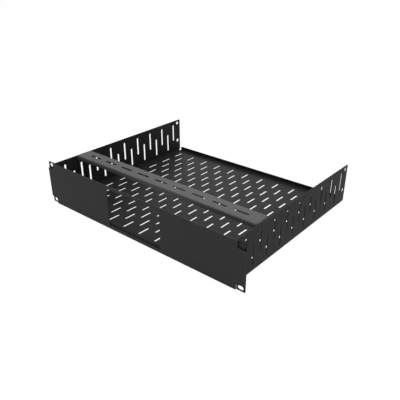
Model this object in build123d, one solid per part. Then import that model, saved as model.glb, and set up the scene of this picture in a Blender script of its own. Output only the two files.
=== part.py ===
# Vented two-unit rack shelf: a folded, slotted steel tray with rack ears, a cut-out
# faceplate that sits on the ears and the front lip with magnet strips, and a slotted
# hold-down bar whose end pins slide up and down in the slots of the side walls.
# Units are millimetres. +X is to the right seen from the front, +Y to the rear and +Z up.
# The origin is the middle of the ears' rear face, which bears on the rack rails.

from build123d import *

import os
from math import cos, pi, sin

os.makedirs("parts", exist_ok=True)

# Rack standard: a panel two units high, with a slot for the rail screw near each corner.
panel_width = 482.6
panel_height = 88.1
rail_hole_side_margin = 8.75
rail_hole_end_margin = 5.95
ear_slot_length = 11.0
ear_slot_width = 7.0

# Tray, folded from one sheet of steel, its walls set in so that it goes between the rails.
sheet = 1.5
bend_inside = 1.5
ear_reach = 18.3
tray_depth = 367.0
deck_rise = 7.5
rear_lip_height = 10.0
front_lip_gap = 0.6
lip_end_gap = 4.5
wall_corner_radius = 1.5
ear_corner_radius = 1.0
lip_corner_radius = 1.5

# Slots of the floor, in columns along Y, every second column staggered by half a pitch.
floor_slot_length = 26.0
floor_slot_width = 4.0
floor_column_pitch = 20.0
floor_row_pitch = 45.0
floor_rear_margin = 30.0
floor_front_margin = 20.0
floor_side_margin = 18.0

# Slots of the walls, upright, in an upper and a lower row that take turns along Y.
wall_slot_width = 4.6
wall_slot_pitch = 20.0
wall_slot_step = 20.0
wall_slot_top_margin = 9.6
wall_slot_foot_margin = 7.8
wall_slot_rear_margin = 23.3
wall_slot_front_margin = 20.0

# The half-round ends of the many slots are drawn with a few flats each, which keeps them light.
vent_end_flats_count = 3
bar_slot_end_flats_count = 5

# Holes at the back of the walls for a rear support bracket.
support_hole_diameter = 7.5
support_hole_spacing = 44.45
support_hole_rear_margin = 8.7
support_hole_top_margin = 7.5

# Faceplate, notched at its corners so that the rail screws stay free.
plate_thickness = 1.6
notch_width = 16.3
notch_height = 12.9
notch_radius = 4.0
plate_corner_radius = 1.0
window_width = 131.0
window_margin = 6.0
window_corner_radius = 2.0

# Magnet strips bonded to the back of the faceplate.
strip_thickness = 0.8
ear_strip_width = 13.0
ear_strip_edge_gap = 1.2
ear_strip_notch_gap = 3.0
lip_strip_edge_gap = 0.5
lip_strip_end_gap = 8.0

# Hold-down bar, a folded channel with a turned-down tab at each end.
bar_sheet = 1.5
bar_bend_inside = 1.0
bar_width = 36.0
bar_rise = 1.9
bar_flange_height = 8.3
bar_wall_gap = 0.5
bar_slot_length = 30.0
bar_slot_width = 5.0
bar_slot_pitch = 45.0
bar_slot_end_margin = 20.0
tab_height = 18.0
tab_side_gap = 1.0
tab_corner_radius = 2.0

# Setting of the bar: how far behind the ears it stands, and how far its pins are ahead of it.
bar_setback = 70.0
pin_lead = 6.8

# Guide pin riveted into each tab: its end runs in a wall slot, just below the wall's face.
pin_diameter = 3.8
pin_recess = 0.5
pin_head_diameter = 6.5
pin_head_height = 1.2
pin_hole_gap = 0.05

# Thin washer on each pin, which fills the gap between the tab and the wall.
washer_diameter = 8.0
washer_bore_gap = 0.1

# Set screw in a clinch nut in each tab: its point jams the bar between the two walls.
screw_diameter = 4.0
screw_length = 8.0
socket_width = 2.0
socket_depth = 2.5
thread_gap = 0.1
nut_diameter = 7.6
nut_height = 3.4
nut_neck_diameter = 5.4
nut_neck_gap = 0.05

# Worked-out planes of the tray.
bend_outside = bend_inside + sheet
panel_half = panel_width / 2
panel_top = panel_height / 2
panel_bottom = -panel_height / 2
ear_front = -sheet
wall_outer = panel_half - ear_reach
wall_inner = wall_outer - sheet
deck_bottom = panel_bottom + deck_rise
deck_top = deck_bottom + sheet
tray_rear = ear_front + tray_depth
floor_half = wall_outer - bend_outside
floor_front = ear_front + bend_outside
floor_rear = tray_rear - bend_outside
wall_foot = deck_bottom + bend_outside
lip_half = wall_inner - lip_end_gap
front_lip_top = deck_bottom - bend_inside
front_lip_foot = panel_bottom + front_lip_gap

# Worked-out slots of the walls: both rows share the height between the two margins.
wall_slot_head = panel_top - wall_slot_top_margin
wall_slot_foot = wall_foot + wall_slot_foot_margin
wall_slot_length = wall_slot_head - wall_slot_foot - wall_slot_step
upper_slot_z = wall_slot_head - wall_slot_length / 2

# Worked-out planes of the faceplate and its strips.
plate_back = ear_front - strip_thickness
window_bottom = panel_bottom + window_margin

# Worked-out planes of the bar.
bar_bend_outside = bar_bend_inside + bar_sheet
bar_top = panel_top + bar_rise
bar_turn_z = bar_top - bar_bend_outside
tab_outer = wall_inner - bar_wall_gap
tab_inner = tab_outer - bar_sheet
bar_flat_half = tab_outer - bar_bend_outside


def steps_down(start, end, pitch):
    """Values one pitch apart, from start down to no further than end."""
    return [start - number * pitch for number in range(int((start - end) / pitch) + 1)]


# Worked-out places of the pins, at the head of the upper slot nearest to the wanted setting,
# and of the set screws, which press on the plain sheet between this slot and the next one.
rear_row = tray_rear - wall_slot_rear_margin
wall_slot_rows = steps_down(rear_row, ear_front + wall_slot_front_margin, wall_slot_pitch)
wanted_pin_y = ear_front + bar_setback - pin_lead
pin_y = min(wall_slot_rows[::2], key=lambda row: abs(row - wanted_pin_y))
pin_z = upper_slot_z + (wall_slot_length - wall_slot_width) / 2
screw_y = pin_y + wall_slot_pitch / 2
bar_middle = pin_y + pin_lead
bar_front = bar_middle - bar_width / 2


def block(low, high):
    """A block given by its lowest and its highest corner."""
    size = [b - a for a, b in zip(low, high)]
    return Pos(*low) * Box(*size, align=(Align.MIN, Align.MIN, Align.MIN))


def bend(centre, first, along, length, inside, outside):
    """A quarter turn of sheet round its centre line, from the first direction a quarter turn on."""
    plane = Plane(origin=centre, x_dir=first, z_dir=along)
    ring = Circle(outside) - Circle(inside)
    corner = Rectangle(outside, outside, align=(Align.MIN, Align.MIN))
    return extrude(plane * (ring & corner), length)


def slot_outline(length, width, flats):
    """A slot along the second axis, each half-round end drawn with the given number of flats."""
    radius = width / 2
    straight = length / 2 - radius
    turns = [pi * number / flats for number in range(flats + 1)]
    far_end = [(radius * cos(turn), straight + radius * sin(turn)) for turn in turns]
    near_end = [(-x, -y) for x, y in far_end]
    return Polygon(*far_end, *near_end, align=None)


def cut_outlines(plate, plane, outline, centres, depth):
    """Take the outline out of the plate at each centre, given on the plane, to the depth both ways."""
    return plate - [extrude(plane * Pos(*centre) * outline, depth, both=True) for centre in centres]


def rounded_corners(part, along, radius, keep):
    """Round the edges that run along an axis and that the test keeps."""
    edges = [edge for edge in part.edges().filter_by(along) if keep(edge.center())]
    return fillet(edges, radius)


def floor_slot_centres():
    """Slot centres of the floor: full columns on even numbers, staggered ones between them."""
    reach = int((floor_half - floor_side_margin) / floor_column_pitch)
    rear = tray_rear - floor_rear_margin
    front = ear_front + floor_front_margin
    centres = []
    for column in range(-reach, reach + 1):
        stagger = floor_row_pitch / 2 if column % 2 else 0
        rows = steps_down(rear - stagger, front, floor_row_pitch)
        centres += [(column * floor_column_pitch, row) for row in rows]
    return centres


def make_floor():
    """The flat of the floor, between the bends of the walls and of the two lips."""
    plate = block((-floor_half, floor_front, deck_bottom), (floor_half, floor_rear, deck_top))
    outline = slot_outline(floor_slot_length, floor_slot_width, vent_end_flats_count)
    return cut_outlines(plate, Plane.XY.offset(deck_bottom), outline, floor_slot_centres(), 2 * sheet)


def make_right_wall():
    """The right wall with the bend at its foot, its upright slots and its support holes."""
    wall = block((wall_inner, floor_front, wall_foot), (wall_outer, tray_rear, panel_top))
    wall = rounded_corners(wall, Axis.X, wall_corner_radius, lambda at: at.Y > floor_rear)
    foot_at = (floor_half, floor_front, wall_foot)
    foot_length = floor_rear - floor_front
    wall += bend(foot_at, (1, 0, 0), (0, 1, 0), foot_length, bend_inside, bend_outside)
    face = Plane.YZ.offset(wall_outer)
    outline = slot_outline(wall_slot_length, wall_slot_width, vent_end_flats_count)
    centres = [(y, upper_slot_z - wall_slot_step * (n % 2)) for n, y in enumerate(wall_slot_rows)]
    wall = cut_outlines(wall, face, outline, centres, 2 * sheet)
    hole_y = tray_rear - support_hole_rear_margin
    hole_z = panel_top - support_hole_top_margin
    holes = [(hole_y, hole_z), (hole_y, hole_z - support_hole_spacing)]
    return cut_outlines(wall, face, Circle(support_hole_diameter / 2), holes, 2 * sheet)


def make_right_ear():
    """The right rack ear with its bend to the wall and its two slots for the rail screws."""
    turn = wall_outer + bend_inside
    ear = block((turn, ear_front, panel_bottom), (panel_half, 0, panel_top))
    ear = rounded_corners(ear, Axis.Y, ear_corner_radius, lambda at: at.X > turn)
    root_at = (turn, floor_front, wall_foot)
    ear += bend(root_at, (-1, 0, 0), (0, 0, 1), panel_top - wall_foot, bend_inside, bend_outside)
    hole_x = panel_half - rail_hole_side_margin
    hole_z = panel_top - rail_hole_end_margin
    outline = SlotOverall(ear_slot_length, ear_slot_width)
    return cut_outlines(ear, Plane.XZ, outline, [(hole_x, -hole_z), (hole_x, hole_z)], 2 * sheet)


def make_rear_lip():
    """The upstand along the back of the floor, with relief gaps at the walls."""
    top = deck_bottom + rear_lip_height
    lip = block((-lip_half, tray_rear - sheet, wall_foot), (lip_half, tray_rear, top))
    lip = rounded_corners(lip, Axis.Y, lip_corner_radius, lambda at: at.Z > wall_foot)
    root_at = (-lip_half, floor_rear, wall_foot)
    return lip + bend(root_at, (0, 0, -1), (1, 0, 0), 2 * lip_half, bend_inside, bend_outside)


def make_front_lip():
    """The flange that turns down along the front of the floor, behind the faceplate."""
    lip = block((-lip_half, ear_front, front_lip_foot), (lip_half, ear_front + sheet, front_lip_top))
    lip = rounded_corners(lip, Axis.Y, lip_corner_radius, lambda at: at.Z < front_lip_top)
    root_at = (-lip_half, floor_front, front_lip_top)
    return lip + bend(root_at, (0, 0, 1), (1, 0, 0), 2 * lip_half, bend_inside, bend_outside)


def make_faceplate():
    """The faceplate: panel outline, four corner notches with round inner corners, one window."""
    notch = RectangleRounded(2 * notch_width, 2 * notch_height, notch_radius)
    outline = Rectangle(panel_width, panel_height)
    for x in (-panel_half, panel_half):
        for z in (panel_bottom, panel_top):
            outline -= Pos(x, z) * notch
    outline -= RectangleRounded(window_width, panel_height - 2 * window_margin, window_corner_radius)
    plate = extrude(Plane.XZ.offset(-plate_back) * outline, plate_thickness)
    at_side = panel_half - plate_corner_radius
    at_end = panel_top - plate_corner_radius
    tips = lambda at: abs(at.X) > at_side or abs(at.Z) > at_end
    return rounded_corners(plate, Axis.Y, plate_corner_radius, tips)


def make_right_ear_strip():
    """The magnet strip between the faceplate and the right ear."""
    outer = panel_half - ear_strip_edge_gap
    reach = panel_top - notch_height - ear_strip_notch_gap
    return block((outer - ear_strip_width, plate_back, -reach), (outer, ear_front, reach))


def make_lip_strip():
    """The magnet strip between the faceplate and the front lip."""
    reach = lip_half - lip_strip_end_gap
    low = front_lip_foot + lip_strip_edge_gap
    high = min(front_lip_top, window_bottom) - lip_strip_edge_gap
    return block((-reach, plate_back, low), (reach, ear_front, high))


def make_bar_flange():
    """The front flange of the bar and its bend, down from the edge of the flat top."""
    foot = bar_top - bar_flange_height
    flange = block((-bar_flat_half, bar_front, foot), (bar_flat_half, bar_front + bar_sheet, bar_turn_z))
    flange = rounded_corners(flange, Axis.Y, lip_corner_radius, lambda at: at.Z < bar_turn_z)
    root_at = (-bar_flat_half, bar_front + bar_bend_outside, bar_turn_z)
    return flange + bend(root_at, (0, 0, 1), (1, 0, 0), 2 * bar_flat_half, bar_bend_inside, bar_bend_outside)


def make_bar():
    """The channel of the hold-down bar: a slotted top between two flanges."""
    reach = bar_width / 2 - bar_bend_outside
    low = (-bar_flat_half, bar_middle - reach, bar_top - bar_sheet)
    top = block(low, (bar_flat_half, bar_middle + reach, bar_top))
    slotted_length = 2 * (bar_flat_half - bar_slot_end_margin)
    steps = int((slotted_length - bar_slot_length) / bar_slot_pitch)
    centres = [((n - steps / 2) * bar_slot_pitch, bar_middle) for n in range(steps + 1)]
    outline = Rot(0, 0, 90) * slot_outline(bar_slot_length, bar_slot_width, bar_slot_end_flats_count)
    top = cut_outlines(top, Plane.XY.offset(bar_top), outline, centres, 2 * bar_sheet)
    flange = make_bar_flange()
    return top + flange + mirror(flange, about=Plane.XZ.offset(-bar_middle))


def make_right_tab():
    """The tab at the right end of the bar, with its bend, the pin's hole and the clinch nut's seat."""
    reach = bar_width / 2 - bar_bend_outside - tab_side_gap
    low_y = bar_middle - reach
    high_y = bar_middle + reach
    tab = block((tab_inner, low_y, bar_top - tab_height), (tab_outer, high_y, bar_turn_z))
    tab = rounded_corners(tab, Axis.X, tab_corner_radius, lambda at: at.Z < bar_turn_z)
    root_at = (bar_flat_half, low_y, bar_turn_z)
    tab += bend(root_at, (0, 0, 1), (0, 1, 0), high_y - low_y, bar_bend_inside, bar_bend_outside)
    face = Plane.YZ.offset(tab_outer)
    tab = cut_outlines(tab, face, Circle(pin_diameter / 2 + pin_hole_gap), [(pin_y, pin_z)], 2 * bar_sheet)
    return cut_outlines(tab, face, Circle(nut_neck_diameter / 2), [(screw_y, pin_z)], 2 * bar_sheet)


def right_disc(y, x, diameter, length):
    """A round across the right tab at the given Y, from the given X outwards."""
    return extrude(Plane.YZ.offset(x) * Pos(y, pin_z) * Circle(diameter / 2), length)


def make_right_pin():
    """The guide pin: a low head inside the tab, and a shank through the tab into the wall slot."""
    head = right_disc(pin_y, tab_inner - pin_head_height, pin_head_diameter, pin_head_height)
    return head + right_disc(pin_y, tab_inner, pin_diameter, wall_outer - pin_recess - tab_inner)


def make_right_washer():
    """The thin washer on the pin between the tab and the wall."""
    bore = right_disc(pin_y, tab_outer, pin_diameter + 2 * washer_bore_gap, bar_wall_gap)
    return right_disc(pin_y, tab_outer, washer_diameter, bar_wall_gap) - bore


def make_right_nut():
    """The clinch nut: a round body inside the tab, its neck in the tab's hole, and its bore."""
    body = right_disc(screw_y, tab_inner - nut_height, nut_diameter, nut_height)
    neck = right_disc(screw_y, tab_inner, nut_neck_diameter - 2 * nut_neck_gap, bar_sheet)
    bore_diameter = screw_diameter + 2 * thread_gap
    bore = right_disc(screw_y, tab_inner - nut_height, bore_diameter, nut_height + bar_sheet)
    return body + neck - bore


def make_right_screw():
    """The set screw: a plain round whose point presses on the wall, with a hexagon socket."""
    screw = right_disc(screw_y, wall_inner - screw_length, screw_diameter, screw_length)
    hexagon = RegularPolygon(socket_width / 2, 6, major_radius=False)
    start = Plane.YZ.offset(wall_inner - screw_length)
    return screw - extrude(start * Pos(screw_y, pin_z) * hexagon, socket_depth)


def write(name, *shapes):
    """Write the shapes as one named piece."""
    export_step(shapes[0] if len(shapes) == 1 else Compound(list(shapes)), f"parts/{name}.step")


def write_sides(name, right):
    """Write a right-hand piece, and its mirror image as the left-hand one."""
    write(f"right_{name}", right)
    write(f"left_{name}", mirror(right, about=Plane.YZ))


def write_group(name, right):
    """Write a piece and its mirror image as one group of separate solids."""
    write(name, right, mirror(right, about=Plane.YZ))


write("vented_floor", make_floor())
write_sides("side_wall", make_right_wall())
write_sides("rack_ear", make_right_ear())
write("rear_lip", make_rear_lip())
write("front_lip", make_front_lip())
write("faceplate", make_faceplate())
write_sides("magnet_strip", make_right_ear_strip())
write("lower_magnet_strip", make_lip_strip())
write("hold_down_bar", make_bar())
write_sides("bar_tab", make_right_tab())
write_group("guide_pins", make_right_pin())
write_group("clamp_washers", make_right_washer())
write_group("clinch_nuts", make_right_nut())
write_group("clamp_screws", make_right_screw())
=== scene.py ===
"""A vented two-unit rack shelf, photographed from the front right on a white ground.

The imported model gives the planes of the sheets. The scene folds each sheet again with its real
round-ended openings, softened edges and bends, turns the small hardware, and coats it all.
Shapes are worked out in millimetres and end in metres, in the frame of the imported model: +X to
the right seen from the front, +Y to the rear, +Z up, origin in the middle of the ears' rear face.
"""
import logging
import math
from dataclasses import dataclass, field
from enum import Enum
from functools import cache
from typing import Any, Callable, Iterable, Optional, Union

import bmesh
import bpy
from mathutils import Euler, Matrix, Vector


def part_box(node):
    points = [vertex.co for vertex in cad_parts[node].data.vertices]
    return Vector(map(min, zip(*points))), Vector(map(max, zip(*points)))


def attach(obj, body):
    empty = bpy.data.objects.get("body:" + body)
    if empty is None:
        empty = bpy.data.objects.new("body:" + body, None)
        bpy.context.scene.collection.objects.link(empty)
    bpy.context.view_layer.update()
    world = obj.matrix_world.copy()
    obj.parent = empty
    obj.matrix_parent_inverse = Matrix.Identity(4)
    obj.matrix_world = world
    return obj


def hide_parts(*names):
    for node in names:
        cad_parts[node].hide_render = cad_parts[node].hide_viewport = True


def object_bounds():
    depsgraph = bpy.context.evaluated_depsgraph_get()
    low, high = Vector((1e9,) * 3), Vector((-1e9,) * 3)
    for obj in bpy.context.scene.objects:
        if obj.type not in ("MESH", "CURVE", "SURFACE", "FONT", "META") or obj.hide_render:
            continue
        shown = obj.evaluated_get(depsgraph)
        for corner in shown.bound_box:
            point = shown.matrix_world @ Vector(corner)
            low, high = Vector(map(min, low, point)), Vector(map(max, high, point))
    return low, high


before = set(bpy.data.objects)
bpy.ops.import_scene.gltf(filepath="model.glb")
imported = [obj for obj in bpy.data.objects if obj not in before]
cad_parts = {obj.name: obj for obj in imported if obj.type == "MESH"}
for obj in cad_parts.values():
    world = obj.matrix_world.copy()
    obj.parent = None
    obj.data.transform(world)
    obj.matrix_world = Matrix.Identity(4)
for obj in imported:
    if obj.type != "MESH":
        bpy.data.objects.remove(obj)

LOG = logging.getLogger("rack_shelf")
CAD_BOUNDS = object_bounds()

# A millimetre in metres, and the reach in millimetres within which points are welded.
MM = 0.001
WELD_REACH = 0.01

# The attribute that marks the faces of softened edges, which the coats read for their painted edge highlight
# and their lower roughness.
RIM = "rim"

# Numbers of the Mix node's colour sockets: their names are shared with its other kinds.
MIX_FIRST, MIX_SECOND, MIX_BLENDED = 6, 7, 2

# Straight pieces to each quarter of a round hole.
HOLE_STEPS = 6

# A colour, a place in space, a place on a flat, and a flat's corner with its radius.
Colour = tuple[float, float, float]
Point = tuple[float, float, float]
Flat = tuple[float, float]
Corner = tuple[float, float, float]


class Wire:
    """A socket of a node tree that takes part in sums as a number does."""

    def __init__(self, tree: bpy.types.NodeTree, socket: bpy.types.NodeSocket) -> None:
        """Hold a socket and the tree that it is in.

        Args:
            tree: the node tree.
            socket: an output socket of one of its nodes.
        """
        self.tree = tree
        self.socket = socket

    def _maths(self, operation: str, first: Any, second: Any) -> "Wire":
        """Add a Math node.

        Args:
            operation: the node's operation.
            first: its first value, a number or a wire.
            second: its second value, a number or a wire.

        Returns:
            The node's result.
        """
        return add_node(self.tree, "ShaderNodeMath", {"operation": operation}, {0: first, 1: second})

    def __add__(self, other: Union["Wire", float]) -> "Wire":
        """Sum of this wire and another value."""
        return self._maths("ADD", self, other)

    __radd__ = __add__

    def __sub__(self, other: Union["Wire", float]) -> "Wire":
        """This wire less another value."""
        return self._maths("SUBTRACT", self, other)

    def __rsub__(self, other: float) -> "Wire":
        """A value less this wire."""
        return self._maths("SUBTRACT", other, self)

    def __mul__(self, other: Union["Wire", float]) -> "Wire":
        """Product of this wire and another value."""
        return self._maths("MULTIPLY", self, other)

    __rmul__ = __mul__

    def maximum(self, other: Union["Wire", float]) -> "Wire":
        """The larger of this wire and another value."""
        return self._maths("MAXIMUM", self, other)


def add_node(
    tree: bpy.types.NodeTree,
    kind: str,
    settings: Optional[dict[str, Any]] = None,
    inputs: Optional[dict[Union[int, str], Any]] = None,
    output: Union[int, str] = 0,
) -> Wire:
    """Add a node, set it up and connect its sockets.

    Args:
        tree: the tree that gets the node.
        kind: the node's type.
        settings: the node's own properties, such as its operation or a ramp's stops.
        inputs: values, wires or lists of wires by the socket's number or name.
        output: which output is wanted.

    Returns:
        The wanted output as a wire.
    """
    node = tree.nodes.new(kind)
    for name, value in (settings or {}).items():
        if name == "stops":
            set_stops(node.color_ramp, value)
        else:
            setattr(node, name, value)
    for key, value in (inputs or {}).items():
        if isinstance(value, Wire):
            tree.links.new(value.socket, node.inputs[key])
        elif isinstance(value, list):
            for wire in value:
                tree.links.new(wire.socket, node.inputs[key])
        else:
            node.inputs[key].default_value = value
    return Wire(tree, node.outputs[output])


def set_stops(ramp: bpy.types.ColorRamp, stops: list[Flat]) -> None:
    """Set a grey colour ramp's stops.

    Args:
        ramp: a new ramp, which has two stops.
        stops: place and grey value of each stop, from low to high.
    """
    while len(ramp.elements) < len(stops):
        ramp.elements.new(1.0)
    for element, (place, grey) in zip(ramp.elements, stops):
        element.position = place
        element.color = (grey, grey, grey, 1.0)


def grey(level: float) -> Colour:
    """The plain grey of a level."""
    return (level, level, level)


def rgba(colour: Colour) -> tuple[float, float, float, float]:
    """The colour with full alpha, as a colour socket takes it."""
    return (*colour, 1.0)


def mix_colours(tree: bpy.types.NodeTree, factor: Any, first: Any, second: Any) -> Wire:
    """Blend two colours.

    Args:
        tree: the tree that gets the node.
        factor: share of the second colour, a number or a wire.
        first: the colour at factor 0, with alpha, or a wire.
        second: the colour at factor 1, with alpha, or a wire.

    Returns:
        The blended colour.
    """
    settings = {"data_type": "RGBA", "blend_type": "MIX"}
    inputs = {"Factor": factor, MIX_FIRST: first, MIX_SECOND: second}
    return add_node(tree, "ShaderNodeMix", settings, inputs, MIX_BLENDED)


def new_material(name: str) -> tuple[bpy.types.Material, bpy.types.NodeTree, bpy.types.Node]:
    """Make a material with a bare Principled shader.

    Args:
        name: the material's name.

    Returns:
        The material, its node tree and the shader node.
    """
    material = bpy.data.materials.new(name)
    material.use_nodes = True
    return material, material.node_tree, material.node_tree.nodes["Principled BSDF"]


def noise(tree: bpy.types.NodeTree, place: Wire, scale: float, detail: float) -> Wire:
    """Even grey noise.

    Args:
        tree: the tree that gets the node.
        place: the coordinates that it is read at.
        scale: blobs to the metre.
        detail: octaves of finer blobs.

    Returns:
        The noise, about 0.5 in the mean.
    """
    return add_node(tree, "ShaderNodeTexNoise", None, {"Vector": place, "Scale": scale, "Detail": detail})


def join(tree: bpy.types.NodeTree, shader: bpy.types.Node, wires: dict[str, Wire]) -> None:
    """Connect wires to a shader's named sockets.

    Args:
        tree: the material's tree.
        shader: its shader node.
        wires: wire by the name of the socket.
    """
    for name, wire in wires.items():
        tree.links.new(wire.socket, shader.inputs[name])


@dataclass(frozen=True)
class PowderCoat:
    """Baked powder coat: a matt skin with a fine peel and faint mottling; its softened edges are a little
    glossier and get a painted highlight, a paler uneven tint.
    """

    name: str
    colour: Colour
    pale: Colour
    # The paler colour of the softened edges, a painted highlight.
    edge: Colour
    gloss: float
    roughness: float = 0.5
    roughness_spread: float = 0.08
    peel_size: float = 0.9 * MM
    peel_depth: float = 0.012 * MM
    grain_size: float = 0.28 * MM
    grain_depth: float = 0.006 * MM
    patch_size: float = 60 * MM
    speckle_size: float = 2.4 * MM
    speckle_low: float = 0.3
    speckle_high: float = 0.7
    speckle_share: float = 0.6
    edge_highlight_share: float = 0.8

    def build(self) -> bpy.types.Material:
        """Make the material.

        Returns:
            The finished material.
        """
        material, tree, shader = new_material(self.name)
        place = add_node(tree, "ShaderNodeTexCoord", output="Object")
        peel = noise(tree, place, 1 / self.peel_size, 2.0)
        grain = noise(tree, place, 1 / self.grain_size, 1.0)
        patches = noise(tree, place, 1 / self.patch_size, 3.0)
        blotches = noise(tree, place, 1 / self.speckle_size, 2.0)
        stops = [(self.speckle_low, 0.0), (self.speckle_high, 1.0)]
        speckle = add_node(tree, "ShaderNodeValToRGB", {"stops": stops}, {0: blotches})
        mottle = patches * (1 - self.speckle_share) + speckle * self.speckle_share
        rim = add_node(tree, "ShaderNodeAttribute", {"attribute_name": RIM}, output="Fac")
        flat_tint = mix_colours(tree, mottle, rgba(self.colour), rgba(self.pale))
        # The softened edges get a painted highlight, a paler tint that follows the patches. The patches are
        # about a half in the mean, so the edges get their share twice.
        tint = mix_colours(tree, rim * patches * (2 * self.edge_highlight_share), flat_tint, rgba(self.edge))
        spread = self.roughness_spread
        rough = patches * spread + grain * spread + (self.roughness - spread) - rim * spread
        height = peel * self.peel_depth + grain * self.grain_depth
        bump = add_node(tree, "ShaderNodeBump", None, {"Strength": 1.0, "Distance": 1.0, "Height": height})
        join(tree, shader, {"Base Color": tint, "Roughness": rough, "Normal": bump})
        shader.inputs["Specular IOR Level"].default_value = self.gloss
        return material


@dataclass(frozen=True)
class TurnedSteel:
    """Plated or blackened steel of small turned parts, with a slightly uneven sheen."""

    name: str
    colour: Colour
    worn: Colour
    roughness: float = 0.42
    roughness_spread: float = 0.2
    mark_size: float = 0.5 * MM
    mark_depth: float = 0.008 * MM
    metallic: float = 0.7

    def build(self) -> bpy.types.Material:
        """Make the material.

        Returns:
            The finished material.
        """
        material, tree, shader = new_material(self.name)
        place = add_node(tree, "ShaderNodeTexCoord", output="Object")
        marks = noise(tree, place, 1 / self.mark_size, 4.0)
        tint = mix_colours(tree, marks * marks, rgba(self.colour), rgba(self.worn))
        bump = add_node(tree, "ShaderNodeBump", None, {"Distance": 1.0, "Height": marks * self.mark_depth})
        rough = marks * self.roughness_spread + (self.roughness - self.roughness_spread / 2)
        join(tree, shader, {"Base Color": tint, "Roughness": rough, "Normal": bump})
        shader.inputs["Metallic"].default_value = self.metallic
        return material


@dataclass(frozen=True)
class FilledPlastic:
    """Dull bonded magnet rubber or nylon: fine grit, and rolled lines where it is a strip.

    Without line depth it has neither lines nor relief.
    """

    name: str
    colour: Colour
    dust: Colour
    roughness: float = 0.8
    roughness_spread: float = 0.2
    dust_share: float = 0.7
    line_pitch: float = 1.6 * MM
    line_depth: float = 0.02 * MM
    grit_size: float = 0.4 * MM

    def build(self) -> bpy.types.Material:
        """Make the material.

        Returns:
            The finished material.
        """
        material, tree, shader = new_material(self.name)
        place = add_node(tree, "ShaderNodeTexCoord", output="Object")
        grit = noise(tree, place, 1 / self.grit_size, 3.0)
        settings = {"wave_type": "BANDS", "bands_direction": "Z"}
        rolled = {"Vector": place, "Scale": 1 / self.line_pitch}
        lines = add_node(tree, "ShaderNodeTexWave", settings, rolled, "Fac")
        tint = mix_colours(tree, grit * self.dust_share, rgba(self.colour), rgba(self.dust))
        height = lines * self.line_depth + grit * self.line_depth
        bump = add_node(tree, "ShaderNodeBump", None, {"Distance": 1.0, "Height": height})
        rough = grit * self.roughness_spread + (self.roughness - self.roughness_spread / 2)
        join(tree, shader, {"Base Color": tint, "Roughness": rough, "Normal": bump})
        return material


class Finish(Enum):
    """The finishes of the shelf's pieces, named after the record's slots."""

    # Each coat's third colour is the painted highlight of its softened edges.
    TRAY_COAT = PowderCoat("tray_powder", grey(0.009), grey(0.018), grey(0.035), 0.065)
    FACEPLATE_COAT = PowderCoat("faceplate_powder", grey(0.0275), grey(0.0325), grey(0.045), 0.065)
    BAR_COAT = PowderCoat("bar_powder", grey(0.059), grey(0.075), grey(0.1), 0.13)
    PLATED_STEEL = TurnedSteel("zinc_plate", (0.30, 0.30, 0.31), (0.55, 0.55, 0.54), 0.35, metallic=1.0)
    BLACK_STEEL = TurnedSteel("black_oxide", (0.006, 0.006, 0.0065), grey(0.02), 0.5, metallic=0.0)
    MAGNET_STRIP = FilledPlastic("magnet_rubber", (0.018, 0.016, 0.015), (0.035, 0.032, 0.03))
    BLACK_NYLON = FilledPlastic("black_nylon", grey(0.01), grey(0.02), 0.6, line_depth=0.0)

    @cache
    def material(self) -> bpy.types.Material:
        """The finish's material, made when it is first asked for."""
        return self.value.build()

    @property
    def slot(self) -> str:
        """The record's name of the slot that the finish belongs to."""
        return self.name.lower()


def box_mm(node: str) -> tuple[Vector, Vector]:
    """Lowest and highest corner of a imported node, in millimetres."""
    low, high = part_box(node)
    return Vector(low) / MM, Vector(high) / MM


def steps_down(start: float, end: float, pitch: float) -> list[float]:
    """Values one pitch apart, from the start down to no further than the end."""
    return [start - number * pitch for number in range(int((start - end) / pitch) + 1)]


@dataclass
class Openings:
    """An array of like openings with rounded corners, cut through a flat on an even grid."""

    name: str
    width: float
    length: float
    corner: float
    centres_across: list[float]
    centres_along: list[float]
    corner_steps: int = 4

    def sizes(self) -> dict[str, Any]:
        """The array's sizes by the names of the tree's inputs.

        Returns:
            Value by name; a span is 0 where there is one column or row.
        """
        spans = [values[0] - values[-1] for values in (self.centres_across, self.centres_along)]
        middle = [(values[0] + values[-1]) / 2 for values in (self.centres_across, self.centres_along)]
        return {
            "width": self.width,
            "length": self.length,
            "corner radius": self.corner,
            "corner steps": self.corner_steps,
            "span across": abs(spans[0]),
            "span along": abs(spans[1]),
            "columns": len(self.centres_across),
            "rows": len(self.centres_along),
            "middle across": middle[0],
            "middle along": middle[1],
        }


@dataclass
class Panel:
    """One flat of a folded sheet, given on its outer face: an outline and its openings.

    The outline's corners are across, along and the corner's radius. A point of the flat lies at
    origin + across * across_axis + along * along_axis. A mirrored flat is on the left side too.
    """

    corners: list[Corner]
    origin: Point
    across_axis: Point
    along_axis: Point
    openings: list[Openings] = field(default_factory=list)
    mirrored: bool = False


@dataclass
class Bend:
    """A quarter turn between two flats, given on the sheet's outer face.

    It turns round its centre from the first direction to the second. Its axis says which way the
    bend line runs and how far. A mirrored bend is on the left side too.
    """

    centre: Point
    first: Point
    second: Point
    axis: Point
    radius: float
    mirrored: bool = False
    steps: int = 8

    def rows(self) -> list[tuple[Vector, Vector]]:
        """Divide the bend into straight lines along its axis.

        Returns:
            The two ends of each line, from the first flat to the second.
        """
        centre, along = Vector(self.centre), Vector(self.axis)
        first, second = Vector(self.first), Vector(self.second)
        lines = []
        for step in range(self.steps + 1):
            turn = math.pi / 2 * step / self.steps
            near = centre + self.radius * (math.cos(turn) * first + math.sin(turn) * second)
            lines.append((near, near + along))
        return lines


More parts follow.
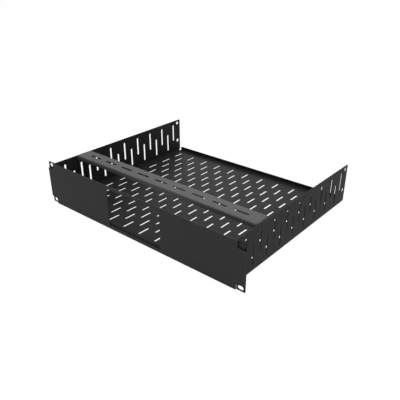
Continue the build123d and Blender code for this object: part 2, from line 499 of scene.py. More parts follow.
def rounded_outline(corners: list[Corner], steps: int = 5) -> list[Flat]:
    """Points of an outline whose corners are rounded.

    Args:
        corners: each corner's two coordinates and its radius.
        steps: straight pieces to each round.

    Returns:
        The outline's points in order.
    """
    points: list[Flat] = []
    for number, (across, along, radius) in enumerate(corners):
        here = Vector((across, along))
        if not radius:
            points.append((across, along))
            continue
        back = (Vector(corners[number - 1][:2]) - here).normalized()
        ahead = (Vector(corners[(number + 1) % len(corners)][:2]) - here).normalized()
        centre = here + radius * (back + ahead)
        for step in range(steps + 1):
            turn = math.pi / 2 * step / steps
            points.append(tuple(centre - radius * (math.cos(turn) * ahead + math.sin(turn) * back)))
    return points


class PerforationTree:
    """Geometry nodes that cut arrays of openings out of an outline and fill what is left."""

    size_names: tuple[str, ...] = tuple(Openings("", 1, 1, 0, [0], [0]).sizes())
    whole_numbers: tuple[str, ...] = ("columns", "rows", "corner steps")

    def __init__(self, arrays: int) -> None:
        """Build the tree.

        Args:
            arrays: how many arrays of openings it takes.
        """
        self.tree = bpy.data.node_groups.new(f"perforated_flat_{arrays}", "GeometryNodeTree")
        self.sockets: dict[str, str] = {}
        self.add_input("Outline", "NodeSocketGeometry")
        for number in range(arrays):
            for size in self.size_names:
                kind = "NodeSocketInt" if size in self.whole_numbers else "NodeSocketFloat"
                self.add_input(f"{size} {number + 1}", kind)
        self.add_input("finish", "NodeSocketMaterial")
        self.tree.interface.new_socket("Flat", in_out="OUTPUT", socket_type="NodeSocketGeometry")
        self.entry = self.tree.nodes.new("NodeGroupInput")
        outline = self.add("GeometryNodeMeshToCurve", {"Mesh": self.given("Outline")})
        curves = [outline] + [self.opening_array(number + 1) for number in range(arrays)]
        joined = self.add("GeometryNodeJoinGeometry", {0: curves})
        filled = self.add("GeometryNodeFillCurve", {"Curve": joined})
        plain = self.add("GeometryNodeRealizeInstances", {0: filled})
        dressed = self.add("GeometryNodeSetMaterial", {"Geometry": plain, "Material": self.given("finish")})
        self.tree.links.new(dressed.socket, self.tree.nodes.new("NodeGroupOutput").inputs[0])

    def add_input(self, name: str, kind: str) -> None:
        """Give the tree a named input and keep its identifier."""
        made = self.tree.interface.new_socket(name, in_out="INPUT", socket_type=kind)
        self.sockets[name] = made.identifier

    def add(
        self, kind: str, inputs: dict[Union[int, str], Any], settings: Optional[dict[str, Any]] = None
    ) -> Wire:
        """Add a node to this tree."""
        return add_node(self.tree, kind, settings, inputs)

    def given(self, name: str) -> Wire:
        """One of the tree's own inputs as a wire."""
        return Wire(self.tree, self.entry.outputs[name])

    def opening_array(self, number: int) -> Wire:
        """One array: a rounded opening set on each point of a grid.

        Args:
            number: the array's number, from 1.

        Returns:
            The openings' outlines as curves.
        """
        size = {name: self.given(f"{name} {number}") for name in self.size_names}
        sides = {"Width": size["width"], "Height": size["length"]}
        plain = self.add("GeometryNodeCurvePrimitiveQuadrilateral", sides)
        rounding = {"Curve": plain, "Count": size["corner steps"], "Radius": size["corner radius"]}
        rounded = self.add("GeometryNodeFilletCurve", rounding, {"mode": "POLY"})
        spread = {"Size X": size["span across"], "Size Y": size["span along"]}
        counts = {"Vertices X": size["columns"], "Vertices Y": size["rows"]}
        points = self.add("GeometryNodeMeshGrid", spread | counts)
        middle = self.add("ShaderNodeCombineXYZ", {"X": size["middle across"], "Y": size["middle along"]})
        moved = self.add("GeometryNodeTransform", {"Geometry": points, "Translation": middle})
        placed = self.add("GeometryNodeInstanceOnPoints", {"Points": moved, "Instance": rounded})
        return self.add("GeometryNodeRealizeInstances", {0: placed})


@cache
def perforation_tree(arrays: int) -> PerforationTree:
    """The tree for that many arrays of openings, made when it is first asked for."""
    return PerforationTree(arrays)


def plain_mesh(maker: bpy.types.Object) -> bpy.types.Mesh:
    """The mesh that an object's modifiers make of it; the object itself goes.

    Args:
        maker: an object that is linked to the scene.

    Returns:
        Its evaluated mesh, on its own.
    """
    bpy.context.view_layer.update()
    mesh = bpy.data.meshes.new_from_object(maker.evaluated_get(bpy.context.evaluated_depsgraph_get()))
    base = maker.data
    bpy.data.objects.remove(maker)
    bpy.data.meshes.remove(base)
    return mesh


def linked_object(name: str, mesh: bpy.types.Mesh) -> bpy.types.Object:
    """Put a new object in the scene, at the origin.

    Args:
        name: the object's name.
        mesh: the mesh that it shows.

    Returns:
        The object.
    """
    made = bpy.data.objects.new(name, mesh)
    bpy.context.scene.collection.objects.link(made)
    return made


def flat_mesh(panel: Panel, finish: Finish) -> bpy.types.Mesh:
    """The panel's perforated flat in its own plane.

    Args:
        panel: its outline and openings.
        finish: the finish that the tree sets.

    Returns:
        A flat mesh with a hole for each opening.
    """
    outline = rounded_outline(panel.corners)
    base = bpy.data.meshes.new("outline")
    edges = [(number, (number + 1) % len(outline)) for number in range(len(outline))]
    base.from_pydata([(across, along, 0.0) for across, along in outline], edges, [])
    cutter = perforation_tree(len(panel.openings))
    maker = linked_object("flat_maker", base)
    nodes = maker.modifiers.new("perforation", "NODES")
    nodes.node_group = cutter.tree
    for number, array in enumerate(panel.openings):
        for name, value in array.sizes().items():
            nodes[cutter.sockets[f"{name} {number + 1}"]] = value
        LOG.info("cut %s: %d by %d", array.name, len(array.centres_across), len(array.centres_along))
    nodes[cutter.sockets["finish"]] = finish.material()
    return plain_mesh(maker)


@dataclass
class FoldedSheet:
    """A folded sheet: flats and bends on its outer face, given thickness and softened edges.

    The inside point is any point on the side that the sheet's outer face looks away from.
    """

    name: str
    finish: Finish
    thickness: float
    inside_point: Point
    panels: list[Panel]
    bends: list[Bend] = field(default_factory=list)
    edge_round: float = 0.22
    round_angle: float = math.radians(40)
    smooth_angle: float = math.radians(30)

    def skin(self) -> bmesh.types.BMesh:
        """Weld the flats and the bends along the bend lines.

        Returns:
            The outer face of the whole sheet, facing outwards.
        """
        shape = bmesh.new()
        for panel in self.panels:
            mesh = flat_mesh(panel, self.finish)
            across, along = Vector(panel.across_axis), Vector(panel.along_axis)
            place = Matrix((across, along, across.cross(along))).transposed().to_4x4()
            place.translation = Vector(panel.origin)
            mesh.transform(place)
            self.add_copies(shape, mesh, panel.mirrored)
        for bend in self.bends:
            mesh = bpy.data.meshes.new("bend")
            rows = bend.rows()
            points = [point for row in rows for point in row]
            quads = [(2 * n, 2 * n + 1, 2 * n + 3, 2 * n + 2) for n in range(len(rows) - 1)]
            mesh.from_pydata(points, [], quads)
            self.add_copies(shape, mesh, bend.mirrored)
        bmesh.ops.remove_doubles(shape, verts=shape.verts, dist=WELD_REACH)
        bmesh.ops.recalc_face_normals(shape, faces=shape.faces)
        inside = Vector(self.inside_point)
        outward = sum(
            face.calc_area() * face.normal.dot(face.calc_center_median() - inside) for face in shape.faces
        )
        if outward < 0:
            bmesh.ops.reverse_faces(shape, faces=shape.faces)
        return shape

    @staticmethod
    def add_copies(shape: bmesh.types.BMesh, mesh: bpy.types.Mesh, mirrored: bool) -> None:
        """Add a mesh to the shape, with its mirror image on the other side where it has one.

        Args:
            shape: the shape that takes it.
            mesh: the mesh, which is used up.
            mirrored: whether the mirror image across X is added as well.
        """
        shape.from_mesh(mesh)
        if mirrored:
            mesh.transform(Matrix.Scale(-1, 4, Vector((1, 0, 0))))
            shape.from_mesh(mesh)
        bpy.data.meshes.remove(mesh)

    def build(self) -> bpy.types.Object:
        """Make the piece.

        Returns:
            Its object, a plain mesh in metres with its finish.
        """
        shape = self.skin()
        base = bpy.data.meshes.new(f"{self.name}_skin")
        shape.to_mesh(base)
        shape.free()
        base.materials.clear()
        # The first slot is for the sheet's faces, and the second marks its softened edges.
        base.materials.append(self.finish.material())
        base.materials.append(self.finish.material())
        maker = linked_object("sheet_maker", base)
        solid = maker.modifiers.new("thickness", "SOLIDIFY")
        solid.thickness = self.thickness
        solid.offset = -1.0
        solid.use_even_offset = True
        solid.use_quality_normals = True
        soft = maker.modifiers.new("softened_edges", "BEVEL")
        soft.width = self.edge_round
        soft.segments = 1
        soft.limit_method = "ANGLE"
        soft.angle_limit = self.round_angle
        soft.use_clamp_overlap = False
        soft.loop_slide = False
        soft.material = 1
        return finished_piece(self.name, plain_mesh(maker), self.finish, self.smooth_angle)


def finished_piece(name: str, mesh: bpy.types.Mesh, finish: Finish, smooth_angle: float) -> bpy.types.Object:
    """Turn a millimetre mesh into a finished piece.

    Args:
        name: the piece's name.
        mesh: its mesh in millimetres; faces of the second material are its softened edges.
        finish: its finish.
        smooth_angle: faces that meet at less than this angle are shaded as one.

    Returns:
        The piece's object, with its place in its mesh.
    """
    marks = [float(face.material_index == 1) for face in mesh.polygons]
    mesh.materials.clear()
    mesh.materials.append(finish.material())
    mesh.polygons.foreach_set("material_index", [0] * len(marks))
    mesh.attributes.new(RIM, "FLOAT", "FACE").data.foreach_set("value", marks)
    mesh.transform(Matrix.Scale(MM, 4))
    mesh.shade_smooth()
    mesh.set_sharp_from_angle(angle=smooth_angle)
    maker = linked_object("shading_maker", mesh)
    weighted = maker.modifiers.new("even_shading", "WEIGHTED_NORMAL")
    weighted.keep_sharp = True
    done = plain_mesh(maker)
    done.name = name
    piece = linked_object(name, done)
    LOG.info("%s: %d faces", name, len(done.polygons))
    return piece


def hand_over(piece: bpy.types.Object, body: str, nodes: Iterable[str]) -> None:
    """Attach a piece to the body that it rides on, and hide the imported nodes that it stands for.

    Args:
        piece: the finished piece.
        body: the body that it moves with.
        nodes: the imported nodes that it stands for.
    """
    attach(piece, body)
    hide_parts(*nodes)


@dataclass
class Tray:
    """The folded tray: slotted floor, slotted walls, rack ears and the two lips.

    Its outer face is the underside of the floor, the outside of the walls and of the rear lip, and
    the rear of the ears and of the front lip.
    """

    sheet: float = 1.5
    bend_inside: float = 1.5
    floor_slot_length: float = 26.0
    floor_slot_width: float = 4.0
    floor_column_pitch: float = 20.0
    floor_row_pitch: float = 45.0
    floor_rear_margin: float = 30.0
    floor_front_margin: float = 20.0
    floor_side_margin: float = 18.0
    wall_slot_width: float = 4.6
    wall_slot_pitch: float = 20.0
    wall_slot_step: float = 20.0
    wall_slot_top_margin: float = 9.6
    wall_slot_foot_margin: float = 7.8
    wall_slot_rear_margin: float = 23.3
    wall_slot_front_margin: float = 20.0
    support_hole: float = 7.5
    support_hole_spacing: float = 44.45
    support_hole_rear_margin: float = 8.7
    support_hole_top_margin: float = 7.5
    ear_slot_length: float = 11.0
    ear_slot_width: float = 7.0
    rail_hole_side_margin: float = 8.75
    rail_hole_end_margin: float = 5.95
    wall_corner: float = 1.5
    ear_corner: float = 1.0
    lip_corner: float = 1.5

    def __post_init__(self) -> None:
        """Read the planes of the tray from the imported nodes."""
        floor_low, floor_high = box_mm("vented_floor")
        wall_high = box_mm("right_side_wall")[1]
        ear_low, ear_high = box_mm("right_rack_ear")
        front_low, front_high = box_mm("front_lip")
        rear_high = box_mm("rear_lip")[1]
        self.floor_half, self.floor_front, self.floor_rear = floor_high.x, floor_low.y, floor_high.y
        self.deck_bottom, self.wall_outer = floor_low.z, wall_high.x
        self.rear, self.top, self.bottom = wall_high.y, wall_high.z, ear_low.z
        self.front, self.ear_tip = ear_low.y, ear_high.x
        self.lip_half, self.rear_lip_top, self.front_lip_foot = front_high.x, rear_high.z, front_low.z
        self.wall_foot = self.deck_bottom + self.bend_inside + self.sheet

    def floor(self) -> Panel:
        """Lay out the floor.

        Returns:
            The slotted flat of the floor, on its underside.
        """
        reach = int((self.floor_half - self.floor_side_margin) / self.floor_column_pitch)
        columns = range(-reach, reach + 1)
        start, end = self.rear - self.floor_rear_margin, self.front + self.floor_front_margin
        even_rows = steps_down(start, end, self.floor_row_pitch)
        odd_rows = steps_down(start - self.floor_row_pitch / 2, end, self.floor_row_pitch)
        half, lip = self.floor_half, self.lip_half
        ends = [-half, -lip, lip, half]
        corners = [(x, self.floor_front, 0.0) for x in ends] + [(-x, self.floor_rear, 0.0) for x in ends]
        slot = (self.floor_slot_width, self.floor_slot_length, self.floor_slot_width / 2)
        even, odd = (
            [number * self.floor_column_pitch for number in columns if number % 2 == rest] for rest in (0, 1)
        )
        openings = [
            Openings("even_columns", *slot, even, even_rows),
            Openings("staggered_columns", *slot, odd, odd_rows),
        ]
        return Panel(corners, (0, 0, self.deck_bottom), (1, 0, 0), (0, 1, 0), openings)

    def wall(self) -> Panel:
        """Lay out the right wall.

        Returns:
            Its flat, with two rows of upright slots and its support holes.
        """
        foot, top, front, rear = self.wall_foot, self.top, self.floor_front, self.rear
        corners = [
            (front, foot, 0.0), (self.floor_rear, foot, 0.0), (rear, foot, self.wall_corner),
            (rear, top, self.wall_corner), (front, top, 0.0),
        ]
        head = top - self.wall_slot_top_margin
        low_end = foot + self.wall_slot_foot_margin
        length = head - low_end - self.wall_slot_step
        start, end = rear - self.wall_slot_rear_margin, self.front + self.wall_slot_front_margin
        rows = steps_down(start, end, self.wall_slot_pitch)
        slot = (self.wall_slot_width, length, self.wall_slot_width / 2)
        hole_y = rear - self.support_hole_rear_margin
        hole_z = top - self.support_hole_top_margin
        hole = (self.support_hole, self.support_hole, self.support_hole / 2)
        openings = [
            Openings("upper_slots", *slot, rows[::2], [head - length / 2]),
            Openings("lower_slots", *slot, rows[1::2], [low_end + length / 2]),
            Openings(
                "support_holes", *hole, [hole_y], [hole_z, hole_z - self.support_hole_spacing], HOLE_STEPS
            ),
        ]
        return Panel(corners, (self.wall_outer, 0, 0), (0, 1, 0), (0, 0, 1), openings, True)

    def ear(self) -> Panel:
        """Lay out the right rack ear.

        Returns:
            Its flat, on its rear face, with two slots for the rail screws.
        """
        root, tip = self.wall_outer + self.bend_inside, self.ear_tip
        corners = [
            (root, self.bottom, 0.0), (tip, self.bottom, self.ear_corner), (tip, self.top, self.ear_corner),
            (root, self.top, 0.0), (root, self.wall_foot, 0.0),
        ]
        hole_x, hole_z = tip - self.rail_hole_side_margin, self.top - self.rail_hole_end_margin
        slot = (self.ear_slot_length, self.ear_slot_width, self.ear_slot_width / 2)
        openings = [Openings("rail_slots", *slot, [hole_x], [hole_z, -hole_z], HOLE_STEPS)]
        return Panel(corners, (0, self.front + self.sheet, 0), (1, 0, 0), (0, 0, 1), openings, True)

    def lip(self, near: float, far: float, y: float) -> Panel:
        """Lay out a lip across the tray.

        Args:
            near: height of its bend line.
            far: height of its free edge, whose corners are round.
            y: where its outer face stands.

        Returns:
            The lip's flat.
        """
        half, corner = self.lip_half, self.lip_corner
        corners = [(-half, near, 0.0), (half, near, 0.0), (half, far, corner), (-half, far, corner)]
        return Panel(corners, (0, y, 0), (1, 0, 0), (0, 0, 1))

    def bends(self) -> list[Bend]:
        """Place the bends.

        Returns:
            The bends at the walls' feet, at the ears' roots and at the two lips.
        """
        inside, outside = self.bend_inside, self.bend_inside + self.sheet
        down, up, right, left = (0, 0, -1), (0, 0, 1), (1, 0, 0), (-1, 0, 0)
        ahead, behind = (0, -1, 0), (0, 1, 0)
        foot_run = (0, self.floor_rear - self.floor_front, 0)
        lip_run = (2 * self.lip_half, 0, 0)
        ear_root = (self.wall_outer + inside, self.floor_front, self.wall_foot)
        front_root = (-self.lip_half, self.floor_front, self.deck_bottom - inside)
        rear_root = (-self.lip_half, self.floor_rear, self.wall_foot)
        return [
            Bend((self.floor_half, self.floor_front, self.wall_foot), down, right, foot_run, outside, True),
            Bend(ear_root, left, ahead, (0, 0, self.top - self.wall_foot), inside, True),
            Bend(front_root, up, ahead, lip_run, inside),
            Bend(rear_root, down, behind, lip_run, outside),
        ]

    def build(self) -> None:
        """Fold the tray and hand it over."""
        front_lip_top = self.deck_bottom - self.bend_inside
        front_lip = self.lip(front_lip_top, self.front_lip_foot, self.front + self.sheet)
        rear_lip = self.lip(self.wall_foot, self.rear_lip_top, self.rear)
        panels = [self.floor(), self.wall(), self.ear(), front_lip, rear_lip]
        inside = (0, (self.front + self.rear) / 2, 0)
        sheet = FoldedSheet("folded_tray", Finish.TRAY_COAT, self.sheet, inside, panels, self.bends())
        nodes = (
            "vented_floor", "left_side_wall", "right_side_wall", "left_rack_ear", "right_rack_ear",
            "rear_lip", "front_lip",
        )
        hand_over(sheet.build(), "tray", nodes)


@dataclass
class FrontPanel:
    """The faceplate with its notches and window, and the magnet strips behind it."""

    notch_width: float = 16.3
    notch_height: float = 12.9
    notch_corner: float = 4.0
    plate_corner: float = 1.0
    window_width: float = 131.0
    window_margin: float = 6.0
    window_corner: float = 2.0

    def build(self) -> None:
        """Cut the faceplate, hand it over and dress the strips."""
        low, high = box_mm("faceplate")
        half, top = high.x, high.z
        side, end, tip = half - self.notch_width, top - self.notch_height, self.plate_corner
        quarter = [(half, end, tip), (side, end, self.notch_corner), (side, top, tip)]
        upper_left = [(-x, z, radius) for x, z, radius in reversed(quarter)]
        lower = [(-x, -z, radius) for x, z, radius in quarter + upper_left]
        height = 2 * (top - self.window_margin)
        window = Openings("window", self.window_width, height, self.window_corner, [0.0], [0.0])
        front = Panel(quarter + upper_left + lower, (0, low.y, 0), (1, 0, 0), (0, 0, 1), [window])
        behind = (0, 0, 0)
        plate = FoldedSheet("front_plate", Finish.FACEPLATE_COAT, high.y - low.y, behind, [front])
        hand_over(plate.build(), "front_panel", ["faceplate"])
        dress_nodes(Finish.MAGNET_STRIP, ["left_magnet_strip", "right_magnet_strip", "lower_magnet_strip"])


def ring(x: float, radius: Union[float, Callable[[float], float]], sides: int = 24) -> list[Point]:
    """Points around the X axis.

    Args:
        x: where they stand along the axis.
        radius: their distance from it, which may depend on the angle.
        sides: how many points there are.

    Returns:
        The points in order.
    """
    points = []
    for number in range(sides):
        angle = 2 * math.pi * number / sides
        reach = radius(angle) if callable(radius) else radius
        points.append((x, reach * math.cos(angle), reach * math.sin(angle)))
    return points


def turned_mesh(rings: list[list[Point]], bored: bool) -> bpy.types.Mesh:
    """Skin a stack of rings.

    Args:
        rings: the rings in order, each with as many points.
        bored: whether the last ring joins the first; else both ends are closed by a flat.

    Returns:
        A closed mesh.
    """
    sides = len(rings[0])
    points = [point for one in rings for point in one]
    pairs = [(n, (n + 1) % len(rings)) for n in range(len(rings) - (0 if bored else 1))]
    faces = [
        (a * sides + n, a * sides + (n + 1) % sides, b * sides + (n + 1) % sides, b * sides + n)
        for a, b in pairs for n in range(sides)
    ]
    if not bored:
        faces.append(tuple(range(sides)))
        faces.append(tuple(range((len(rings) - 1) * sides, len(rings) * sides)))
    mesh = bpy.data.meshes.new("turned")
    mesh.from_pydata(points, [], faces)
    return mesh


@dataclass
class Hardware:
    """The pins, washers, clinch nuts and set screws of the bar's two ends.

    Each maker turns the right-hand piece round the X axis, and takes the X of its outer end.
    """

    pin_radius: float = 1.9
    pin_length: float = 4.2
    head_radius: float = 3.25
    head_height: float = 1.2
    dome_profile: tuple[Flat, ...] = ((1.0, 1.0), (0.45, 0.9), (0.12, 0.62), (0.0, 0.3))
    washer_radius: float = 4.0
    washer_thickness: float = 0.5
    washer_gap: float = 0.1
    nut_radius: float = 3.8
    nut_height: float = 3.4
    nut_neck_radius: float = 2.69
    nut_neck: float = 1.5
    serration: float = 0.18
    serration_count: int = 12
    serrated_height: float = 1.44
    thread_radius: float = 2.0
    thread_gap: float = 0.02
    thread_pitch: float = 0.7
    thread_depth: float = 0.38
    thread_steps: int = 4
    screw_length: float = 8.0
    socket_flats: float = 2.0
    socket_depth: float = 2.5
    socket_mouth: float = 1.25
    break_edge: float = 0.25
    smooth_angle: float = math.radians(40)

    def pin(self, end: float) -> bpy.types.Mesh:
        """Turn a pin with a domed head and a broken edge at its free end.

        Args:
            end: X of its free end.

        Returns:
            Its mesh.
        """
        top = end - self.pin_length
        under = top + self.head_height
        edge, dome = self.break_edge, self.head_height / 2
        rings = [
            ring(end, self.pin_radius - edge), ring(end - edge, self.pin_radius),
            ring(under, self.pin_radius), ring(under, self.head_radius - edge / 2),
            ring(under - edge / 2, self.head_radius),
        ]
        rings += [ring(top + dome * rise, self.head_radius * width) for rise, width in self.dome_profile]
        return turned_mesh(rings, False)

    def washer(self, end: float) -> bpy.types.Mesh:
        """Turn a thin washer with softened rims.

        Args:
            end: X of its outer face.

        Returns:
            Its mesh.
        """
        near, bore = end - self.washer_thickness, self.pin_radius + self.washer_gap
        soft = self.washer_thickness / 5
        rings = [
            ring(near, bore), ring(near, self.washer_radius - soft), ring(near + soft, self.washer_radius),
            ring(end - soft, self.washer_radius), ring(end, self.washer_radius - soft), ring(end, bore),
        ]
        return turned_mesh(rings, True)

    def nut(self, end: float) -> bpy.types.Mesh:
        """Turn a clinch nut: countersunk bore, broken edges, a serrated skirt against the tab.

        Args:
            end: X of its neck's end.

        Returns:
            Its mesh.
        """
        seat, edge = end - self.nut_neck, self.break_edge
        face, skirt = seat - self.nut_height, seat - self.serrated_height
        bore, wide = self.thread_radius + self.thread_gap, self.nut_radius

        def teeth(angle: float) -> float:
            """Reach of the serrations at an angle."""
            return wide - self.serration * (1 + math.cos(self.serration_count * angle)) / 2

        rings = [
            ring(face, bore + edge), ring(face, wide - edge), ring(face + edge, wide),
            ring(skirt, wide), ring(skirt, teeth), ring(seat, teeth),
            ring(seat, self.nut_neck_radius), ring(end, self.nut_neck_radius),
            ring(end, bore + edge), ring(end - edge, bore), ring(face + edge, bore),
        ]
        return turned_mesh(rings, True)

    def screw(self, end: float) -> bpy.types.Mesh:
        """Turn a set screw: hexagon socket, right-hand thread and a flat point.

        Args:
            end: X of its point.

        Returns:
            Its mesh.
        """
        start, depth, edge = end - self.screw_length, self.thread_depth, self.break_edge
        root, half, sixth = self.thread_radius - depth, self.socket_flats / 2, math.pi / 3
        row = self.thread_pitch / self.thread_steps

        def socket(angle: float) -> float:
            """Reach of the hexagon at an angle."""
            return half / math.cos((angle + sixth / 2) % sixth - sixth / 2)

        def thread(x: float) -> Callable[[float], float]:
            """Reach of the thread by angle, at a place along the axis."""
            turns = x / self.thread_pitch
            return lambda angle: root + depth * abs(2 * ((turns - angle / (2 * math.pi)) % 1) - 1)

        rows = round((self.screw_length - depth - 2 * edge) / row)
        places = [start + depth + number * row for number in range(rows)]
        rings = [ring(start + self.socket_depth, socket), ring(start + edge, socket)]
        rings += [ring(start, half * self.socket_mouth), ring(start, root)]
        rings += [ring(x, thread(x)) for x in places]
        rings += [ring(end - edge, root), ring(end, root - 2 * edge)]
        return turned_mesh(rings, False)

    def build(self) -> None:
        """Make each kind at both ends of the bar and hand it over."""
        kinds = [
            ("guide_pins", self.pin, Finish.BLACK_STEEL), ("clamp_washers", self.washer, Finish.BLACK_NYLON),
            ("clinch_nuts", self.nut, Finish.PLATED_STEEL), ("clamp_screws", self.screw, Finish.BLACK_STEEL),
        ]
        for node, maker, finish in kinds:
            low, high = box_mm(node)
            right = maker(high.x)
            right.transform(Matrix.Translation((0, (low.y + high.y) / 2, (low.z + high.z) / 2)))
            both = bmesh.new()
            both.from_mesh(right)
            # The left one is turned half round, not mirrored, so that its thread stays right-handed.
            middle = Matrix.Translation((0, (low.y + high.y) / 2, 0))
            right.transform(middle @ Matrix.Rotation(math.pi, 4, "Z") @ middle.inverted())
            both.from_mesh(right)
            bmesh.ops.recalc_face_normals(both, faces=both.faces)
            both.to_mesh(right)
            both.free()
            piece = finished_piece(f"turned_{node}", right, finish, self.smooth_angle)
            hand_over(piece, "clamped_bar", [node])


@dataclass
class ClampedBar:
    """The slotted hold-down bar, its tabs, and the pins, nuts and set screws in them."""

    sheet: float = 1.5
    bend_inside: float = 1.0
    slot_length: float = 30.0
    slot_width: float = 5.0
    slot_pitch: float = 45.0
    slot_end_margin: float = 20.0
    slot_steps: int = 5
    flange_corner: float = 1.5
    tab_corner: float = 2.0
    pin_hole: float = 3.9
    nut_seat: float = 5.4

    def __post_init__(self) -> None:
        """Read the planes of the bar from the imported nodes."""
        self.low, self.high = box_mm("hold_down_bar")
        self.tab_low, self.tab_high = box_mm("right_bar_tab")
        self.bend_outside = self.bend_inside + self.sheet
        self.half = self.tab_high.x - self.bend_outside
        self.middle = (self.low.y + self.high.y) / 2
        self.turn = self.high.z - self.bend_outside
        pin_low, pin_high = box_mm("guide_pins")
        nut_low, nut_high = box_mm("clinch_nuts")
        self.pin_y, self.pin_z = (pin_low.y + pin_high.y) / 2, (pin_low.z + pin_high.z) / 2
        self.nut_y = (nut_low.y + nut_high.y) / 2

    def top_flat(self) -> Panel:
        """Lay out the top of the bar.

        Returns:
            Its slotted flat.
        """
        reach = (self.high.y - self.low.y) / 2 - self.bend_outside
        tab = (self.tab_high.y - self.tab_low.y) / 2
        offsets = [-reach, -tab, tab, reach]
        right = [(self.half, self.middle + offset, 0.0) for offset in offsets]
        left = [(-self.half, self.middle - offset, 0.0) for offset in offsets]
        steps = int((2 * (self.half - self.slot_end_margin) - self.slot_length) / self.slot_pitch)
        centres = [(number - steps / 2) * self.slot_pitch for number in range(steps + 1)]
        size = (self.slot_length, self.slot_width, self.slot_width / 2)
        slots = Openings("strap_slots", *size, centres, [self.middle], self.slot_steps)
        return Panel(right + left, (0, 0, self.high.z), (1, 0, 0), (0, 1, 0), [slots])

    def flange(self, y: float) -> Panel:
        """Lay out a flange along the bar.

        Args:
            y: where its outer face stands.

        Returns:
            The flange's flat.
        """
        foot, corner = self.low.z, self.flange_corner
        corners = [(-self.half, self.turn, 0.0), (self.half, self.turn, 0.0), (self.half, foot, corner)]
        return Panel(corners + [(-self.half, foot, corner)], (0, y, 0), (1, 0, 0), (0, 0, 1))

    def tab(self) -> Panel:
        """Lay out the right tab.

        Returns:
            Its flat, with the holes of the pin and of the nut.
        """
        near, far, foot, corner = self.tab_low.y, self.tab_high.y, self.tab_low.z, self.tab_corner
        corners = [
            (near, self.turn, 0.0), (far, self.turn, 0.0), (far, foot, corner), (near, foot, corner),
        ]
        holes = [("pin_hole", self.pin_hole, self.pin_y), ("nut_seat", self.nut_seat, self.nut_y)]
        openings = [
            Openings(name, size, size, size / 2, [y], [self.pin_z], HOLE_STEPS) for name, size, y in holes
        ]
        return Panel(corners, (self.tab_high.x, 0, 0), (0, 1, 0), (0, 0, 1), openings, True)

    def build(self) -> None:
        """Fold the bar, hand it over, and make its hardware."""
        radius, up, run = self.bend_outside, (0, 0, 1), (2 * self.half, 0, 0)
        front_root = (-self.half, self.low.y + radius, self.turn)
        rear_root = (-self.half, self.high.y - radius, self.turn)
        tab_root = (self.half, self.tab_low.y, self.turn)
        tab_run = (0, self.tab_high.y - self.tab_low.y, 0)
        bends = [
            Bend(front_root, up, (0, -1, 0), run, radius),
            Bend(rear_root, up, (0, 1, 0), run, radius),
            Bend(tab_root, up, (1, 0, 0), tab_run, radius, True),
        ]
        panels = [self.top_flat(), self.flange(self.low.y), self.flange(self.high.y), self.tab()]
        inside = (0, self.middle, self.low.z)
        bar = FoldedSheet("folded_bar", Finish.BAR_COAT, self.sheet, inside, panels, bends)
        nodes = ("hold_down_bar", "left_bar_tab", "right_bar_tab")
        hand_over(bar.build(), "clamped_bar", nodes)
        Hardware().build()


def dress_nodes(finish: Finish, names: list[str]) -> None:
    """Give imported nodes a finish.

    Args:
        finish: the finish.
        names: the nodes that are shown as they are.
    """
    for name in names:
        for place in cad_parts[name].material_slots:
            place.material = finish.material()
        LOG.info("%s gets %s", name, finish.value.name)


@dataclass(frozen=True)
class Lamp:
    """A soft lamp: where it hangs, in metres, and its power in watts."""

    name: str
    place: Point
    power: float


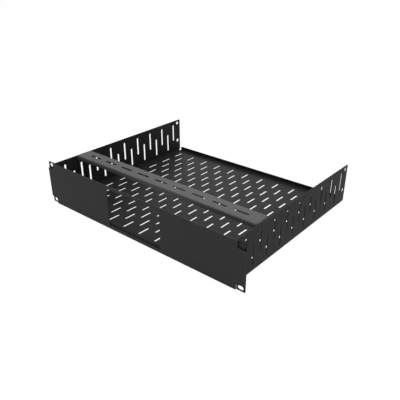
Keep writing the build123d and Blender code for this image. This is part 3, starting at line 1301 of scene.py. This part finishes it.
@dataclass
class Studio:
    """White ground, white surroundings, four large soft lamps and the photograph's camera.

    Places are in metres, angles in radians and the sensor in millimetres. The focal length and the
    centre of view are in pixels of the photograph.
    """

    eye: Point = (581.61 * MM, -513.59 * MM, 426.53 * MM)
    azimuth: float = 0.6974
    elevation: float = 0.4732
    roll: float = 0.0004
    sensor: float = 36.0
    picture_side: float = 400.0
    focal_pixels: float = 499.395
    centre_x: float = 200.261
    centre_y: float = 200.932
    nearest: float = 0.01
    farthest: float = 50.0
    ground_half: float = 6.0
    ground_colour: Colour = grey(0.9)
    ground_roughness: float = 0.9
    ground_white: float = 0.96
    ground_glow: float = 1.02
    world_level: float = 0.3
    lamp_side: float = 1.2
    lamps: tuple[Lamp, ...] = (
        Lamp("front_lamp", (1.3, -1.2, 1.2), 13.5),
        Lamp("right_lamp", (2.0, 0.2, 0.8), 8.8),
        Lamp("top_lamp", (0.0, 0.2, 2.0), 22.0),
        Lamp("back_lamp", (-1.0, 1.6, 1.2), 8.5),
    )

    def add_camera(self) -> None:
        """Set up the camera at the photograph's place, angle and framing."""
        data = bpy.data.cameras.new("camera")
        data.sensor_width = self.sensor
        data.lens = self.focal_pixels / self.picture_side * self.sensor
        data.shift_x = (self.picture_side / 2 - self.centre_x) / self.picture_side
        data.shift_y = (self.centre_y - self.picture_side / 2) / self.picture_side
        data.clip_start = self.nearest
        data.clip_end = self.farthest
        camera = bpy.data.objects.new("camera", data)
        camera.location = self.eye
        turn = Euler((math.pi / 2 - self.elevation, 0.0, self.azimuth)).to_matrix()
        camera.rotation_euler = (turn @ Euler((0.0, 0.0, self.roll)).to_matrix()).to_euler()
        bpy.context.scene.collection.objects.link(camera)
        bpy.context.scene.camera = camera

    def add_lamp(self, lamp: Lamp) -> None:
        """Hang a square soft lamp that faces the shelf.

        Args:
            lamp: the lamp.
        """
        data = bpy.data.lights.new(lamp.name, "AREA")
        data.size = self.lamp_side
        data.energy = lamp.power
        hung = bpy.data.objects.new(lamp.name, data)
        hung.location = lamp.place
        middle = (Vector(CAD_BOUNDS[0]) + Vector(CAD_BOUNDS[1])) / 2
        hung.rotation_euler = (middle - Vector(lamp.place)).to_track_quat("-Z", "Y").to_euler()
        bpy.context.scene.collection.objects.link(hung)

    def add_ground(self) -> None:
        """Lay the white ground that the shelf stands on, which keeps a faint shadow."""
        low = CAD_BOUNDS[0].z
        half = self.ground_half
        corners = [(-half, -half, low), (half, -half, low), (half, half, low), (-half, half, low)]
        mesh = bpy.data.meshes.new("ground")
        mesh.from_pydata(corners, [], [(0, 1, 2, 3)])
        ground = linked_object("ground", mesh)
        material, tree, shader = new_material("ground_paper")
        shader.inputs["Base Color"].default_value = rgba(self.ground_colour)
        shader.inputs["Roughness"].default_value = self.ground_roughness
        seen = self.seen_directly(tree)
        glow = add_node(tree, "ShaderNodeEmission", None, {"Strength": self.ground_glow})
        own = Wire(tree, shader.outputs[0])
        mixed = add_node(tree, "ShaderNodeMixShader", None, {0: seen * self.ground_white, 1: own, 2: glow})
        tree.links.new(mixed.socket, tree.nodes["Material Output"].inputs["Surface"])
        mesh.materials.append(material)

    def seen_directly(self, tree: bpy.types.NodeTree) -> Wire:
        """Whether a ray comes from the camera, a mirror image or through glass.

        Args:
            tree: the tree that gets the node.

        Returns:
            1 for such a ray and 0 for any other.
        """
        path = tree.nodes.new("ShaderNodeLightPath")
        camera = Wire(tree, path.outputs["Is Camera Ray"])
        glossy = Wire(tree, path.outputs["Is Glossy Ray"])
        through = Wire(tree, path.outputs["Is Transmission Ray"])
        return camera.maximum(glossy).maximum(through)

    def add_world(self) -> None:
        """Surround the shelf with white to the eye and a plain level of light."""
        world = bpy.data.worlds.new("white_surroundings")
        world.use_nodes = True
        tree = world.node_tree
        strength = self.seen_directly(tree) * (1.0 - self.world_level) + self.world_level
        background = tree.nodes["Background"]
        background.inputs["Color"].default_value = rgba(grey(1.0))
        tree.links.new(strength.socket, background.inputs["Strength"])
        bpy.context.scene.world = world

    def build(self) -> None:
        """Set up the camera, the light and the ground."""
        self.add_camera()
        self.add_world()
        self.add_ground()
        for lamp in self.lamps:
            self.add_lamp(lamp)
        bpy.context.scene.view_settings.view_transform = "Standard"


def main() -> None:
    """Build the shelf's sub-assemblies in order, and its studio."""
    logging.basicConfig(level=logging.INFO)
    Tray().build()
    FrontPanel().build()
    ClampedBar().build()
    Studio().build()


if __name__ == "__main__":
    main()
